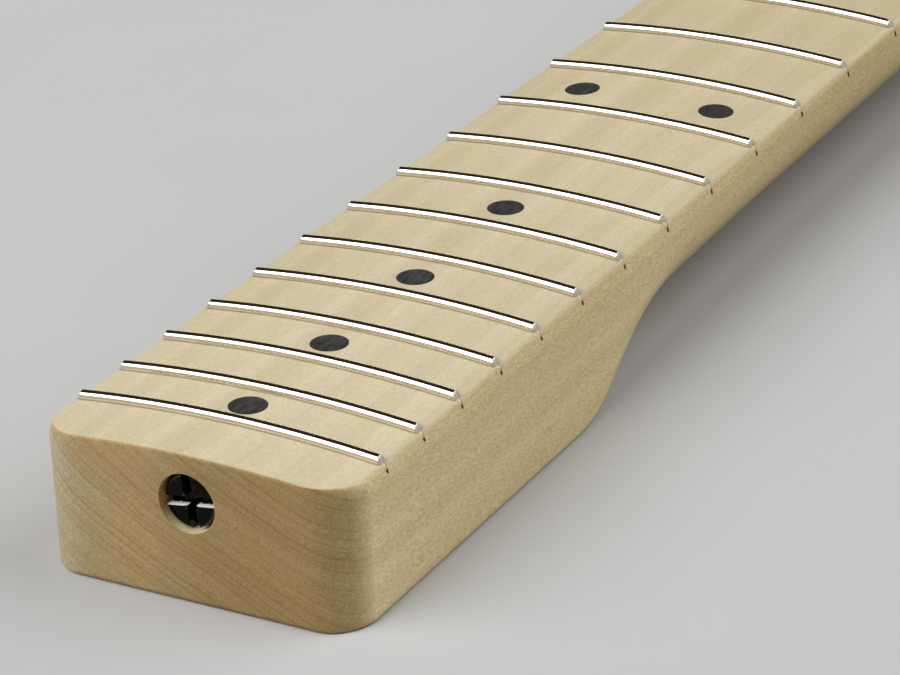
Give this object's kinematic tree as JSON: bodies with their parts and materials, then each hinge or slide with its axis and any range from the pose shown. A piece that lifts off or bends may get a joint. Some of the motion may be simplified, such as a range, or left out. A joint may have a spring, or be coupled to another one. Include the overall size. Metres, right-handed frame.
{
  "type": "electric guitar neck",
  "caption": "Bolt-on guitar neck: flat rounded heel, radiused fretted board with dot inlays, carved back, headstock with tuner holes and a truss rod adjusted at the heel end.",
  "frame": {"origin": "middle of the four-screw pattern on the flat back of the heel, where the neck seats in a body pocket", "axes": "+X towards the treble side, +Y along the neck from the heel to the headstock, +Z out of the fingerboard"},
  "size_m": [0.0656, 0.6498, 0.0277],
  "materials": {
    "maple": "satin",
    "walnut": "satin",
    "fret_wire": "polished",
    "dot_black": "matte",
    "bone": "satin",
    "steel": "satin",
    "nickel": "polished"
  },
  "bodies": {
    "neck": {"neck_blank": "maple", "fret_01": "fret_wire", "fret_02": "fret_wire", "fret_03": "fret_wire", "fret_04": "fret_wire", "fret_05": "fret_wire", "fret_06": "fret_wire", "fret_07": "fret_wire", "fret_08": "fret_wire", "fret_09": "fret_wire", "fret_10": "fret_wire", "fret_11": "fret_wire", "fret_12": "fret_wire", "fret_13": "fret_wire", "fret_14": "fret_wire", "fret_15": "fret_wire", "fret_16": "fret_wire", "fret_17": "fret_wire", "fret_18": "fret_wire", "fret_19": "fret_wire", "fret_20": "fret_wire", "fret_21": "fret_wire", "string_nut": "bone", "face_dot_03": "dot_black", "face_dot_05": "dot_black", "face_dot_07": "dot_black", "face_dot_09": "dot_black", "face_dot_12_bass": "dot_black", "face_dot_12_treble": "dot_black", "face_dot_15": "dot_black", "face_dot_17": "dot_black", "face_dot_19": "dot_black", "face_dot_21": "dot_black", "side_dot_03": "dot_black", "side_dot_05": "dot_black", "side_dot_07": "dot_black", "side_dot_09": "dot_black", "side_dot_12_bass": "dot_black", "side_dot_12_treble": "dot_black", "side_dot_15": "dot_black", "side_dot_17": "dot_black", "side_dot_19": "dot_black", "side_dot_21": "dot_black", "truss_rod": "steel", "truss_rod_washer": "steel", "truss_rod_anchor": "steel", "back_stripe": "walnut", "anchor_plug": "walnut"},
    "truss_rod_nut": {"truss_rod_nut": "nickel"}
  },
  "joints": [
    {"name": "truss_rod_nut_turn", "type": "hinge", "parent": "neck", "child": "truss_rod_nut", "pos_m": [0, -0.0371, 0.0172], "axis": [0, -1, 0], "range_deg": [-225, 225]}
  ]
}
